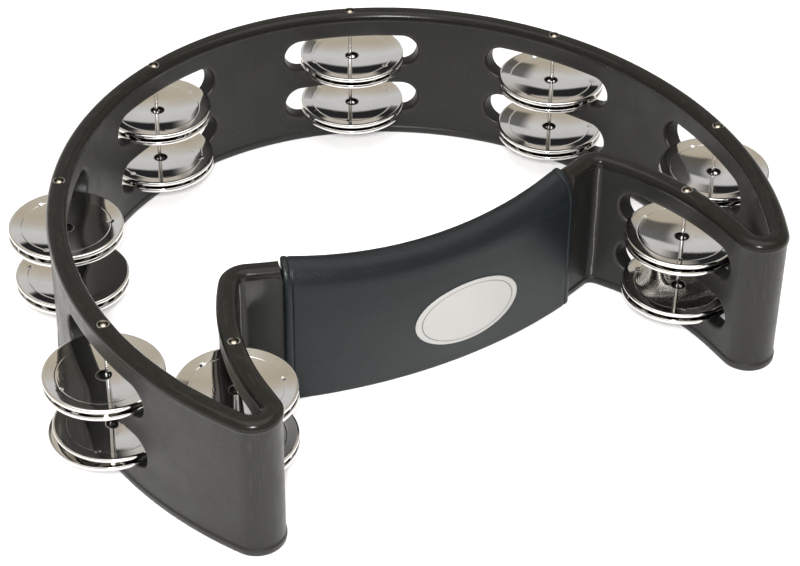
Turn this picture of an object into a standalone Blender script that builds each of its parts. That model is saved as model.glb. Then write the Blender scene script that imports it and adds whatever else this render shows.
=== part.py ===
"""Cutaway (half-moon) tambourine with a padded grip bar.

One moulded plastic wall runs round the back as part of an ellipse, turns
through a hairpin at each tip, comes back as a return wall, and crosses the
mouth as the handle bar. Eight long nails stand in the wall. Each one holds two
pairs of dished steel jingles, one pair in each row of windows.

Metres, +Z up. The tambourine lies flat on Z = 0, its mouth faces -Y, and the
origin is under the middle of its bounding box.
"""

import math

import bmesh
import bpy
from mathutils import Matrix, Vector

MM = 0.001

# ---- driving dimensions, in millimetres -------------------------------------
OUTER_HALF_WIDTH = 127.0  # 10 inch wide frame
OUTER_DEPTH_BACK = 139.1  # semi-axis of the back half of the wall
OUTER_DEPTH_FRONT = 140.6  # semi-axis of the front half
HEIGHT = 56.6
WALL = 7.2  # width of the rounded lip
LIP_INSET = 0.45  # the web between the lips is thinner by this on each side
LIP_HEIGHT = 3.4

TIP_RADIUS = 6.4  # hairpin, centre line
TIP_X = 98.5
RETURN_RADIUS = 102.1  # return wall, centre line
RETURN_CENTRE = (-10.0, -62.0)
CORNER_RADIUS = 6.6  # return wall to handle bar, centre line
BAR_RADIUS = 185.0  # handle bar, centre line
BAR_Y = -17.7  # handle bar at the middle

STATION_ANGLES = (18.5, 55.0, 94.7)  # of the nails on the outer wall, from +Y
RETURN_NAIL_Y = -38.6
WINDOW_LENGTH = 53.5
WINDOW_HEIGHT = 13.2
WINDOW_Z = (17.6, 39.4)  # middle of the lower and of the upper row
RETURN_WINDOW_SHIFT = 1.4  # the return window's middle lies nearer the tip
RETURN_LIFT = 0.35  # so its jingles rest higher, on the rounded window end

JINGLE_RADIUS = 20.7
JINGLE_HOLE = 2.5
JINGLE_SHEET = 0.5
JINGLE_DISH = 1.6
GAP = 0.3  # between pieces that touch

NAIL_RADIUS = 0.75
NAIL_FOOT_Z = 4.6
NAIL_HEAD_RADIUS = 1.3
NAIL_HOLE = 1.05
RECESS_RADIUS = 1.75
RECESS_DEPTH = 1.1

GRIP_HALF_LENGTH = 57.0
SEAT_BOTTOM = 2.0  # the bar under the grip starts and ends here
SEAT_TOP = 46.4
GRIP_FRONT = 5.6  # grip faces, from the bar's centre line
GRIP_BACK = 4.7
GRIP_TOP_MIDDLE = 52.6
GRIP_TOP_END = 57.4

BADGE_WIDTH = 43.2
BADGE_HEIGHT = 25.6
BADGE_THICKNESS = 0.5
BADGE_X = 8.8
BADGE_Z = 21.4

ROUND_STEPS = 20


def clear_scene():
    for obj in list(bpy.data.objects):
        bpy.data.objects.remove(obj, do_unlink=True)


def collection(name):
    found = bpy.data.collections.new(name)
    bpy.context.scene.collection.children.link(found)
    return found


def material(name, colour, roughness, metallic):
    made = bpy.data.materials.new(name)
    made.use_nodes = True
    shader = made.node_tree.nodes["Principled BSDF"]
    shader.inputs["Base Color"].default_value = (*colour, 1.0)
    shader.inputs["Roughness"].default_value = roughness
    shader.inputs["Metallic"].default_value = metallic
    return made


# ---- plan of the wall --------------------------------------------------------
def on_ellipse(t, inset):
    """Point of the outer wall at parameter t from +Y, moved in by inset."""
    depth = OUTER_DEPTH_BACK if math.cos(t) >= 0 else OUTER_DEPTH_FRONT
    x, y = OUTER_HALF_WIDTH * math.sin(t), depth * math.cos(t)
    nx, ny = x / OUTER_HALF_WIDTH**2, y / depth**2
    size = math.hypot(nx, ny)
    return x - inset * nx / size, y - inset * ny / size


def circles_meet(c1, r1, c2, r2, right):
    """Where two circles meet: the point with the larger x if right."""
    dx, dy = c2[0] - c1[0], c2[1] - c1[1]
    apart = math.hypot(dx, dy)
    along = (r1**2 - r2**2 + apart**2) / (2 * apart)
    off = math.sqrt(r1**2 - along**2)
    mx, my = c1[0] + along * dx / apart, c1[1] + along * dy / apart
    points = [
        (mx + side * off * dy / apart, my - side * off * dx / apart)
        for side in (1, -1)
    ]
    return max(points) if right else min(points)


def tip_centre():
    """Centre and wall parameter of the hairpin that touches the outer wall."""
    low, high = math.radians(100), math.radians(140)
    for _ in range(60):
        middle = (low + high) / 2
        x, _y = on_ellipse(middle, WALL / 2 + TIP_RADIUS)
        low, high = (middle, high) if x > TIP_X else (low, middle)
    t = (low + high) / 2
    return on_ellipse(t, WALL / 2 + TIP_RADIUS), t


BAR_CENTRE = (0.0, BAR_Y + BAR_RADIUS)
(TIP_CX, TIP_CY), TIP_T = tip_centre()
CORNER_CENTRE = circles_meet(
    BAR_CENTRE,
    BAR_RADIUS + CORNER_RADIUS,
    RETURN_CENTRE,
    RETURN_RADIUS - CORNER_RADIUS,
    True,
)


def arc(centre, radius, start, end, steps):
    """Points after start and up to end, angles in radians from +X."""
    return [
        (
            centre[0] + radius * math.cos(start + (end - start) * i / steps),
            centre[1] + radius * math.sin(start + (end - start) * i / steps),
        )
        for i in range(1, steps + 1)
    ]


def heading(centre, point):
    return math.atan2(point[1] - centre[1], point[0] - centre[0])


def half_plan():
    """Centre line of the right half, from the middle of the back to the middle
    of the bar."""
    steps = 31
    points = [on_ellipse(TIP_T * i / steps, WALL / 2) for i in range(steps + 1)]
    start = heading((TIP_CX, TIP_CY), points[-1])
    points += arc((TIP_CX, TIP_CY), TIP_RADIUS, start, -math.pi / 2, 4)
    points += arc((TIP_CX, TIP_CY), TIP_RADIUS, -math.pi / 2, -math.pi, 5)
    # The return wall is straight from the hairpin to the level of its centre.
    points.append((RETURN_CENTRE[0] + RETURN_RADIUS, RETURN_CENTRE[1]))
    corner = heading(RETURN_CENTRE, CORNER_CENTRE)
    points += arc(RETURN_CENTRE, RETURN_RADIUS, 0.0, corner, 5)
    towards_bar = heading(CORNER_CENTRE, BAR_CENTRE)
    points += arc(CORNER_CENTRE, CORNER_RADIUS, corner, towards_bar, 5)
    bar = heading(BAR_CENTRE, CORNER_CENTRE)
    points += arc(BAR_CENTRE, BAR_RADIUS, bar, -math.pi / 2, 6)
    return points


RIGHT_HALF = half_plan()
PLAN = RIGHT_HALF + [(-x, y) for x, y in reversed(RIGHT_HALF[1:-1])]


def station(angle):
    """Nail position on the wall's centre line at this polar angle, and the
    wall's outward direction there."""
    low, high = 0.0, math.pi
    for _ in range(60):
        middle = (low + high) / 2
        x, y = on_ellipse(middle, WALL / 2)
        low, high = (middle, high) if math.atan2(x, y) < angle else (low, middle)
    inner, outer = on_ellipse(low, WALL / 2), on_ellipse(low, 0.0)
    return inner, math.atan2(outer[1] - inner[1], outer[0] - inner[0])


def stations():
    """Name, x, y and outward direction of each nail, and its window's shift
    along the wall."""
    found = []
    for name, angle in zip(("back", "side", "front"), STATION_ANGLES):
        (x, y), out = station(math.radians(angle))
        found.append(("right_" + name, x, y, out, 0.0))
        found.append(("left_" + name, -x, y, math.pi - out, 0.0))
    rise = RETURN_NAIL_Y - RETURN_CENTRE[1]
    x = RETURN_CENTRE[0] + math.sqrt(RETURN_RADIUS**2 - rise**2)
    out = math.asin(rise / RETURN_RADIUS)
    found.append(("right_return", x, RETURN_NAIL_Y, out, -RETURN_WINDOW_SHIFT))
    found.append(
        ("left_return", -x, RETURN_NAIL_Y, math.pi - out, RETURN_WINDOW_SHIFT)
    )
    return found


STATIONS = stations()
LOWEST_Y = TIP_CY - TIP_RADIUS - WALL / 2
HIGHEST_Y = max(y for _, _, y, _, _ in STATIONS) + JINGLE_RADIUS
MIDDLE_Y = (LOWEST_Y + HIGHEST_Y) / 2


def place(x, y, z):
    return Vector((x * MM, (y - MIDDLE_Y) * MM, z * MM))


# ---- frame -------------------------------------------------------------------
def wall_profile():
    """Half of the wall's section: its right side, from the bottom up."""
    half, web = WALL / 2, WALL / 2 - LIP_INSET
    lower = [(half - 1.5, 0.0), (half - 0.35, 0.6), (half, 1.8), (web, LIP_HEIGHT)]
    return lower + [(x, HEIGHT - z) for x, z in reversed(lower)]


def poly_curve(name, points, closed):
    curve = bpy.data.curves.new(name, "CURVE")
    curve.dimensions = "2D"
    curve.fill_mode = "NONE"
    spline = curve.splines.new("POLY")
    spline.points.add(len(points) - 1)
    for point, (x, y) in zip(spline.points, points):
        point.co = (x * MM, y * MM, 0.0, 1.0)
    spline.use_cyclic_u = closed
    return curve


def as_mesh(curve_object, into):
    """The curve as a mesh object in its place, and the curve removed."""
    bpy.context.view_layer.update()
    graph = bpy.context.evaluated_depsgraph_get()
    mesh = bpy.data.meshes.new_from_object(curve_object.evaluated_get(graph))
    made = bpy.data.objects.new(curve_object.name + "_mesh", mesh)
    made.matrix_world = curve_object.matrix_world.copy()
    into.objects.link(made)
    bpy.data.objects.remove(curve_object, do_unlink=True)
    return made


def face_outwards(mesh):
    edit = bmesh.new()
    edit.from_mesh(mesh)
    bmesh.ops.remove_doubles(edit, verts=edit.verts, dist=1e-6)
    bmesh.ops.recalc_face_normals(edit, faces=edit.faces)
    if edit.calc_volume(signed=True) < 0:
        bmesh.ops.reverse_faces(edit, faces=edit.faces)
    edit.to_mesh(mesh)
    edit.free()


def swept_wall(parts):
    right = wall_profile()
    section = [(x, z - HEIGHT / 2) for x, z in right]
    section += [(-x, z - HEIGHT / 2) for x, z in reversed(right)]
    profile = bpy.data.objects.new("wall_section", poly_curve("wall_section", section, True))
    parts.objects.link(profile)
    plan = poly_curve("wall_plan", [(x, y - MIDDLE_Y) for x, y in PLAN], True)
    plan.bevel_mode = "OBJECT"
    plan.bevel_object = profile
    rail = bpy.data.objects.new("wall", plan)
    rail.location = (0.0, 0.0, HEIGHT / 2 * MM)
    parts.objects.link(rail)
    wall = as_mesh(rail, parts)
    bpy.data.objects.remove(profile, do_unlink=True)
    face_outwards(wall.data)
    return wall


def cutter(name, mesh, cutters):
    made = bpy.data.objects.new(name, mesh)
    made.hide_render = True
    made.display_type = "WIRE"
    cutters.objects.link(made)
    return made


def window_cutter(cutters):
    """All the jingle windows: stadium-shaped bars across the wall."""
    edit = bmesh.new()
    radius, straight = WINDOW_HEIGHT / 2, (WINDOW_LENGTH - WINDOW_HEIGHT) / 2
    outline = [
        (side * (straight + radius * math.cos(a)), side * radius * math.sin(a))
        for side in (1, -1)
        for a in (math.radians(-90 + 30 * i) for i in range(7))
    ]
    for _, x, y, out, shift in STATIONS:
        for z in WINDOW_Z:
            turn = Matrix.Rotation(out, 4, "Z")
            ring = []
            for depth in (-9.0, 4.6):
                ring.append(
                    [
                        edit.verts.new(
                            place(x, y, z)
                            + turn @ Vector((depth * MM, (u + shift) * MM, v * MM))
                        )
                        for u, v in outline
                    ]
                )
            near, far = ring
            edit.faces.new(near)
            edit.faces.new(reversed(far))
            for i in range(len(outline)):
                j = (i + 1) % len(outline)
                edit.faces.new((near[j], near[i], far[i], far[j]))
    mesh = bpy.data.meshes.new("window_cutter")
    edit.to_mesh(mesh)
    edit.free()
    face_outwards(mesh)
    return cutter("window_cutter", mesh, cutters)


def turned(name, profile, steps, at=None):
    """A mesh turned about Z from (radius, z) points that run top to bottom."""
    mesh = bpy.data.meshes.new(name)
    mesh.from_pydata(
        [(r * MM, 0.0, z * MM) for r, z in profile],
        [(i, i + 1) for i in range(len(profile) - 1)],
        [],
    )
    made = bpy.data.objects.new(name, mesh)
    if at is not None:
        made.location = at
    screw = made.modifiers.new("turn", "SCREW")
    screw.axis = "Z"
    screw.steps = screw.render_steps = steps
    screw.use_merge_vertices = True
    screw.merge_threshold = 1e-6
    screw.use_smooth_shade = True
    return made


def nail_hole_cutter(cutters):
    """The eight nail holes, each with the recess that its head sits in."""
    edit = bmesh.new()
    profile = [
        (RECESS_RADIUS, HEIGHT + 2.0),
        (RECESS_RADIUS, HEIGHT - RECESS_DEPTH),
        (NAIL_HOLE, HEIGHT - RECESS_DEPTH),
        (NAIL_HOLE, NAIL_FOOT_Z - GAP),
    ]
    steps = 12
    for _, x, y, _, _ in STATIONS:
        rings = [
            [
                edit.verts.new(
                    place(
                        x + r * math.cos(math.tau * k / steps),
                        y + r * math.sin(math.tau * k / steps),
                        z,
                    )
                )
                for k in range(steps)
            ]
            for r, z in profile
        ]
        edit.faces.new(rings[0])
        edit.faces.new(reversed(rings[-1]))
        for upper, lower in zip(rings, rings[1:]):
            for k in range(steps):
                j = (k + 1) % steps
                edit.faces.new((upper[k], lower[k], lower[j], upper[j]))
    mesh = bpy.data.meshes.new("nail_hole_cutter")
    edit.to_mesh(mesh)
    edit.free()
    face_outwards(mesh)
    return cutter("nail_hole_cutter", mesh, cutters)


def seat_cutter(cutters):
    """The step above and below the bar, where the grip goes round it."""
    edit = bmesh.new()
    reach = math.asin(GRIP_HALF_LENGTH / BAR_RADIUS) + GAP / BAR_RADIUS
    for low, high in ((-5.0, SEAT_BOTTOM), (SEAT_TOP, HEIGHT + 5.0)):
        rings = [
            [
                edit.verts.new(on_bar(reach * (-1 + i / 2), out, z))
                for out, z in ((-11, low), (11, low), (11, high), (-11, high))
            ]
            for i in range(5)
        ]
        edit.faces.new(rings[0])
        edit.faces.new(reversed(rings[-1]))
        for a, b in zip(rings, rings[1:]):
            for k in range(4):
                j = (k + 1) % 4
                edit.faces.new((a[j], a[k], b[k], b[j]))
    mesh = bpy.data.meshes.new("seat_cutter")
    edit.to_mesh(mesh)
    edit.free()
    face_outwards(mesh)
    return cutter("seat_cutter", mesh, cutters)


def make_frame(parts, cutters, finish):
    frame = swept_wall(parts)
    frame.name = "frame_shell"
    frame.data.name = "frame_shell"
    for name, tool in (
        ("seat", seat_cutter(cutters)),
        ("windows", window_cutter(cutters)),
        ("nail_holes", nail_hole_cutter(cutters)),
    ):
        cut = frame.modifiers.new(name, "BOOLEAN")
        cut.operation = "DIFFERENCE"
        cut.solver = "EXACT"
        cut.object = tool
    frame.data.shade_smooth()
    frame.data.set_sharp_from_angle(angle=math.radians(30))
    frame.data.materials.clear()
    frame.data.materials.append(finish)
    return frame


# ---- grip --------------------------------------------------------------------
def on_bar(angle, out, z):
    """Point out from the bar's centre line, towards the mouth, at this angle
    about the bar's centre."""
    radius = BAR_RADIUS + out
    return place(
        BAR_CENTRE[0] + radius * math.sin(angle),
        BAR_CENTRE[1] - radius * math.cos(angle),
        z,
    )


def grip_section(top):
    """Outer outline of the grip, counter-clockwise from its lower back edge,
    as (out, z): the front is flat and rolls over far into the top."""
    points = [
        (-GRIP_BACK + 0.8, 0.3),
        (GRIP_FRONT - 0.8, 0.3),
        (GRIP_FRONT, 1.2),
        (GRIP_FRONT, top - 10.0),
    ]
    crown = -GRIP_BACK + 2.6
    for i in range(1, 5):
        a = math.radians(90 * i / 5)
        points.append(
            (
                crown + (GRIP_FRONT - crown) * math.cos(a),
                top - 10.0 + 10.0 * math.sin(a),
            )
        )
    points += [
        (crown, top),
        (-GRIP_BACK + 0.75, top - 0.8),
        (-GRIP_BACK, top - 2.8),
        (-GRIP_BACK, 1.2),
    ]
    return points


def make_grip(parts, finish):
    """A sleeve round the bar, lofted because its top dips in the middle."""
    half_web = WALL / 2 + GAP
    inner = [
        (-half_web, SEAT_BOTTOM - GAP),
        (half_web, SEAT_BOTTOM - GAP),
        (half_web, SEAT_TOP + GAP),
        (-half_web, SEAT_TOP + GAP),
    ]
    reach = math.asin(GRIP_HALF_LENGTH / BAR_RADIUS)
    steps = 12
    edit = bmesh.new()
    outer_rings, inner_rings = [], []
    for i in range(steps + 1):
        share = -1 + 2 * i / steps
        angle = reach * share
        top = GRIP_TOP_MIDDLE + (GRIP_TOP_END - GRIP_TOP_MIDDLE) * share**2
        outer_rings.append(
            [edit.verts.new(on_bar(angle, o, z)) for o, z in grip_section(top)]
        )
        inner_rings.append([edit.verts.new(on_bar(angle, o, z)) for o, z in inner])

    def skin(rings):
        for a, b in zip(rings, rings[1:]):
            for k in range(len(a)):
                j = (k + 1) % len(a)
                edit.faces.new((a[k], a[j], b[j], b[k]))

    skin(outer_rings)
    skin(inner_rings)
    for end in (0, -1):
        loops = outer_rings[end] + inner_rings[end]
        rims = set(loops)
        edges = [
            e
            for e in edit.edges
            if e.is_boundary and e.verts[0] in rims and e.verts[1] in rims
        ]
        bmesh.ops.triangle_fill(edit, edges=edges, use_beauty=True)
    bmesh.ops.recalc_face_normals(edit, faces=edit.faces)
    mesh = bpy.data.meshes.new("grip_sleeve")
    edit.to_mesh(mesh)
    edit.free()
    face_outwards(mesh)
    grip = bpy.data.objects.new("grip_sleeve", mesh)
    parts.objects.link(grip)
    mesh.materials.append(finish)
    mesh.shade_smooth()
    mesh.set_sharp_from_angle(angle=math.radians(35))
    return grip


def make_badge(parts, finish):
    """A blank oval plate bent to the front of the grip."""
    edit = bmesh.new()
    bmesh.ops.create_circle(edit, cap_ends=True, cap_tris=True, radius=1.0, segments=28)
    spokes = [e for e in edit.edges if min(v.co.length for v in e.verts) < 1e-6]
    bmesh.ops.subdivide_edges(edit, edges=spokes, cuts=2, use_grid_fill=False)
    back = GRIP_FRONT + GAP
    middle = math.asin(BADGE_X / BAR_RADIUS)
    for vert in edit.verts:
        across = vert.co.x * BADGE_WIDTH / 2 / (BAR_RADIUS + back)
        vert.co = on_bar(middle + across, back, BADGE_Z + vert.co.y * BADGE_HEIGHT / 2)
    bmesh.ops.recalc_face_normals(edit, faces=edit.faces)
    mesh = bpy.data.meshes.new("oval_badge")
    edit.to_mesh(mesh)
    edit.free()
    badge = bpy.data.objects.new("oval_badge", mesh)
    parts.objects.link(badge)
    towards_mouth = mesh.polygons[0].normal.y < 0
    plate = badge.modifiers.new("thickness", "SOLIDIFY")
    plate.thickness = BADGE_THICKNESS * MM
    plate.offset = 1.0 if towards_mouth else -1.0
    plate.use_even_offset = True
    mesh.materials.append(finish)
    return badge


# ---- nails and jingles ---------------------------------------------------------
def nail_profile():
    top = HEIGHT - 0.15
    seat = HEIGHT - RECESS_DEPTH + GAP
    return [
        (0.0, top),
        (NAIL_HEAD_RADIUS * 0.6, top - 0.12),
        (NAIL_HEAD_RADIUS, seat + 0.12),
        (NAIL_HEAD_RADIUS, seat),
        (NAIL_RADIUS, seat),
        (NAIL_RADIUS, NAIL_FOOT_Z + 1.4),
        (0.0, NAIL_FOOT_Z),
    ]


def make_nail(name, x, y, parts, finish):
    nail = turned(name, nail_profile(), 10, place(x, y, 0.0))
    nail.data.materials.append(finish)
    parts.objects.link(nail)
    return nail


def dish(radius):
    """Height of the jingle's sheet above its middle."""
    share = (radius - JINGLE_HOLE) / (JINGLE_RADIUS - JINGLE_HOLE)
    return JINGLE_DISH * share**1.7


def jingle_mesh(facing_up, finish):
    """A dished sheet-steel disc with a centre hole, its middle at Z = 0 on the
    side where it meets its partner."""
    radii = [JINGLE_HOLE, (JINGLE_HOLE + JINGLE_RADIUS) * 0.55, JINGLE_RADIUS]
    face = [(r, dish(r) + JINGLE_SHEET) for r in radii]
    back = [(r, dish(r)) for r in reversed(radii)]
    # Down the outer side, in under the disc, and up through the hole.
    loop = face[::-1][:1] + back + face[:-1]
    if not facing_up:
        loop = [(r, -z) for r, z in reversed(loop)]
    mesh = bpy.data.meshes.new("jingle_up" if facing_up else "jingle_down")
    count = len(loop)
    edit = bmesh.new()
    verts = [edit.verts.new((r * MM, 0.0, z * MM)) for r, z in loop]
    edges = [edit.edges.new((verts[i], verts[(i + 1) % count])) for i in range(count)]
    bmesh.ops.spin(
        edit,
        geom=verts + edges,
        cent=(0, 0, 0),
        axis=(0, 0, 1),
        angle=math.tau,
        steps=ROUND_STEPS,
        use_merge=True,
        use_duplicate=False,
    )
    bmesh.ops.remove_doubles(edit, verts=edit.verts, dist=1e-6)
    edit.to_mesh(mesh)
    edit.free()
    face_outwards(mesh)
    mesh.materials.append(finish)
    mesh.shade_smooth()
    mesh.set_sharp_from_angle(angle=math.radians(40))
    return mesh


def pair_middle(window_z):
    """Height at which the two discs of a pair meet when they lie on the sill of
    their window."""
    sill = window_z - WINDOW_HEIGHT / 2
    return sill + GAP + JINGLE_DISH + JINGLE_SHEET + GAP / 2


def main():
    clear_scene()
    parts = collection("tambourine")
    cutters = collection("cutters")
    black = material("frame_plastic", (0.020, 0.020, 0.019), 0.42, 0.0)
    padded = material("grip_rubber", (0.026, 0.029, 0.031), 0.55, 0.0)
    silver = material("badge_silver", (0.80, 0.80, 0.78), 0.35, 0.0)
    nickel = material("jingle_nickel", (0.72, 0.71, 0.69), 0.10, 1.0)
    nail_steel = material("nail_steel", (0.66, 0.60, 0.50), 0.25, 1.0)

    make_frame(parts, cutters, black)
    make_grip(parts, padded)
    make_badge(parts, silver)

    dish_up = jingle_mesh(True, nickel)
    dish_down = jingle_mesh(False, nickel)
    for name, x, y, _, shift in STATIONS:
        make_nail("nail_" + name, x, y, parts, nail_steel)
        for row, window_z in zip(("lower", "upper"), WINDOW_Z):
            middle = pair_middle(window_z) + (RETURN_LIFT if shift else 0.0)
            for side, mesh, lift in (
                ("bottom", dish_down, -GAP / 2),
                ("top", dish_up, GAP / 2),
            ):
                jingle = bpy.data.objects.new(f"jingle_{name}_{row}_{side}", mesh)
                jingle.location = place(x, y, middle + lift)
                parts.objects.link(jingle)


main()
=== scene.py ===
"""Looks of the cutaway tambourine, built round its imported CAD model."""

import math  # noqa: E402
import random  # noqa: E402

import bmesh  # noqa: E402
import bpy  # noqa: E402
import numpy as np  # noqa: E402
from mathutils import Euler, Matrix, Vector  # noqa: E402


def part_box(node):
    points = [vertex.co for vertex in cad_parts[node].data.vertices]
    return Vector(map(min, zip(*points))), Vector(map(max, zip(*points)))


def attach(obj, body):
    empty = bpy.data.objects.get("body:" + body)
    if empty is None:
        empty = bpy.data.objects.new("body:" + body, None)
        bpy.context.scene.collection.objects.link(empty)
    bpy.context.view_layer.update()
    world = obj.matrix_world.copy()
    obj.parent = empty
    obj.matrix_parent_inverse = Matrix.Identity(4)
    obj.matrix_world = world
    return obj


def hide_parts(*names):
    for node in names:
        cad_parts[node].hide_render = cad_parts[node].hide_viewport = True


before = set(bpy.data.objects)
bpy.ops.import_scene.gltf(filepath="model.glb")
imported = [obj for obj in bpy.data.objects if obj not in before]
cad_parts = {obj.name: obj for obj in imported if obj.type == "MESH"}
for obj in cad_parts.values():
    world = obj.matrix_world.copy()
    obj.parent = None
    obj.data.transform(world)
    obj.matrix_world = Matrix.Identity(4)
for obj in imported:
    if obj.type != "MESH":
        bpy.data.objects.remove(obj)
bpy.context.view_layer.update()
MM = 0.001
random.seed(11)

# ---------------------------------------------------------------- sizes, in mm
OUTER_A, BACK_B, FRONT_B = 127.0, 139.1, 140.6
H, WALL, WEB = 56.6, 7.2, 3.15
TIP_R, TIP_X = 6.4, 98.5
RET_R, RET_C = 102.1, (-10.0, -62.0)
COR_R, BAR_R, BAR_Y = 6.6, 185.0, -17.7
BAR_C = (0.0, BAR_Y + BAR_R)
WIN_L, WIN_H, WIN_Z = 53.5, 13.2, (17.6, 39.4)
WIN_ST = (WIN_L - WIN_H) / 2
GRIP_HALF = 57.0

STATIONS = sorted(n[5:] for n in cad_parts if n.startswith("nail_"))


def centre_of(node):
    lo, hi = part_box(node)
    return (lo + hi) / 2


# ------------------------------------------------------------ plan of the wall
def on_ellipse(t, inset):
    b = np.where(np.cos(t) >= 0, BACK_B, FRONT_B)
    x, y = OUTER_A * np.sin(t), b * np.cos(t)
    nx, ny = x / OUTER_A**2, y / b**2
    size = np.hypot(nx, ny)
    return np.stack([x - inset * nx / size, y - inset * ny / size], -1)


def tip():
    low, high = math.radians(100), math.radians(140)
    for _ in range(60):
        mid = (low + high) / 2
        low, high = (
            (mid, high)
            if on_ellipse(np.array(mid), WALL / 2 + TIP_R)[0] > TIP_X
            else (low, mid)
        )
    return on_ellipse(np.array(low), WALL / 2 + TIP_R), low


def circles_meet(c1, r1, c2, r2):
    c1, c2 = np.array(c1), np.array(c2)
    d = c2 - c1
    apart = np.hypot(*d)
    along = (r1**2 - r2**2 + apart**2) / (2 * apart)
    off = math.sqrt(r1**2 - along**2)
    mid = c1 + along * d / apart
    side = np.array([d[1], -d[0]]) / apart * off
    return max((tuple(mid + side), tuple(mid - side)))


TIP_C, TIP_T = tip()
COR_C = circles_meet(BAR_C, BAR_R + COR_R, RET_C, RET_R - COR_R)


def arc_points(c, r, a, b, n):
    t = np.linspace(a, b, n + 1)[1:]
    return np.stack([c[0] + r * np.cos(t), c[1] + r * np.sin(t)], -1)


def dense_plan():
    """Centre line from the middle of the bar, by the left return, the back and
    the right return, to the middle of the bar again."""
    right = [on_ellipse(np.linspace(0, TIP_T, 4001), WALL / 2)]
    a = math.atan2(right[0][-1][1] - TIP_C[1], right[0][-1][0] - TIP_C[0])
    right.append(arc_points(TIP_C, TIP_R, a, -math.pi, 600))
    straight = np.linspace(TIP_C[1], RET_C[1], 101)[1:]
    right.append(np.stack([np.full(100, RET_C[0] + RET_R), straight], -1))
    a = math.atan2(COR_C[1] - RET_C[1], COR_C[0] - RET_C[0])
    right.append(arc_points(RET_C, RET_R, 0, a, 900))
    b = math.atan2(BAR_C[1] - COR_C[1], BAR_C[0] - COR_C[0])
    right.append(arc_points(COR_C, COR_R, a, b, 300))
    a = math.atan2(COR_C[1] - BAR_C[1], COR_C[0] - BAR_C[0])
    right.append(arc_points(BAR_C, BAR_R, a, -math.pi / 2, 900))
    right = np.concatenate(right)
    left = right[::-1] * (-1, 1)
    return np.concatenate([left, right[1:]])


RAW = dense_plan()
RAW_S = np.concatenate([[0], np.cumsum(np.hypot(*np.diff(RAW, axis=0).T))])
LENGTH = float(RAW_S[-1])
COUNT = 16384
GRID = np.arange(COUNT + 1) * LENGTH / COUNT
CX = np.interp(GRID, RAW_S, RAW[:, 0])
CY = np.interp(GRID, RAW_S, RAW[:, 1])
_dx = np.roll(CX[:-1], -1) - np.roll(CX[:-1], 1)
_dy = np.roll(CY[:-1], -1) - np.roll(CY[:-1], 1)
_turn = np.unwrap(np.arctan2(_dy, _dx))
WIND = round((_turn[-1] - _turn[0]) / math.tau) * math.tau
_k = 31  # smooths the heading over about 1.6 mm, so that arcs run into each other
_pad = np.concatenate([_turn[-_k:] - WIND, _turn, _turn[:_k] + WIND])
_turn = np.convolve(_pad, np.ones(_k) / _k, "same")[_k:-_k]
HEAD = np.concatenate([_turn, [_turn[0] + WIND]])

LOW_Y = float(CY.min()) - WALL / 2
FIT_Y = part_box("frame_shell")[0].y / MM - LOW_Y  # from this plan to the row frame


def plan_at(s, n):
    """Point n mm to the left of the centre line at arc length s."""
    s = np.mod(s, LENGTH)
    h = np.interp(s, GRID, HEAD)
    x = np.interp(s, GRID, CX) - np.sin(h) * n
    y = np.interp(s, GRID, CY) + np.cos(h) * n
    return np.stack([x, y], -1)


def heading_at(s):
    return float(np.interp(s % LENGTH, GRID, HEAD))


def nearest_s(x, y):
    return float(GRID[np.argmin(np.hypot(CX - x, CY - y))])


# ------------------------------------------------------------- mesh from parts
class Mesh:
    """Gathers points and faces, each point with its place along the wall."""

    def __init__(self):
        self.points, self.marks, self.faces = [], [], []
        self.count = 0

    def add(self, points, marks):
        points, marks = np.asarray(points, float), np.asarray(marks, float)
        first = self.count
        self.points.append(points.reshape(-1, 3))
        self.marks.append(marks.reshape(-1, 3))
        self.count += len(self.points[-1])
        return np.arange(first, self.count)

    def quads(self, a, b, closed=False):
        a, b = list(a), list(b)
        if closed:
            a, b = a + a[:1], b + b[:1]
        for i in range(len(a) - 1):
            self.faces.append((a[i], a[i + 1], b[i + 1], b[i]))

    def build(self, name):
        points = np.concatenate(self.points)
        marks = np.concatenate(self.marks)
        mesh = bpy.data.meshes.new(name)
        mesh.from_pydata(
            points.tolist(), [], [tuple(int(i) for i in f) for f in self.faces]
        )
        mesh.validate()
        layer = mesh.uv_layers.new(name="wall")
        index = np.zeros(len(mesh.loops), np.int32)
        mesh.loops.foreach_get("vertex_index", index)
        layer.data.foreach_set("uv", marks[index][:, :2].astype(np.float32).ravel())
        wear = mesh.attributes.new("wear", "FLOAT", "POINT")
        wear.data.foreach_set("value", marks[:, 2].astype(np.float32))
        edit = bmesh.new()
        edit.from_mesh(mesh)
        bmesh.ops.recalc_face_normals(edit, faces=edit.faces)
        if edit.calc_volume(signed=True) < 0:
            bmesh.ops.reverse_faces(edit, faces=edit.faces)
        edit.to_mesh(mesh)
        edit.free()
        mesh.shade_smooth()
        return mesh


def to_world(xy, z):
    xy = np.asarray(xy)
    return np.stack(
        [xy[..., 0] * MM, (xy[..., 1] + FIT_Y) * MM, np.asarray(z) * MM], -1
    )


def place_object(name, mesh, body="frame", replaces=()):
    made = bpy.data.objects.new(name, mesh)
    bpy.context.scene.collection.objects.link(made)
    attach(made, body)
    if replaces:
        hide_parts(*replaces)
    return made


# ------------------------------------------------------------- frame: the wall
PATCH = 29.5  # half the length of wall meshed round a pair of windows
EDGE = 0.95  # rounding of the window edges
LOW_Z, MID_Z, HIGH_Z = 4.2, 28.5, 52.2
CORNER_STEPS, SIDE_STEPS, STRAIGHT_STEPS = 7, 14, 20

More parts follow.
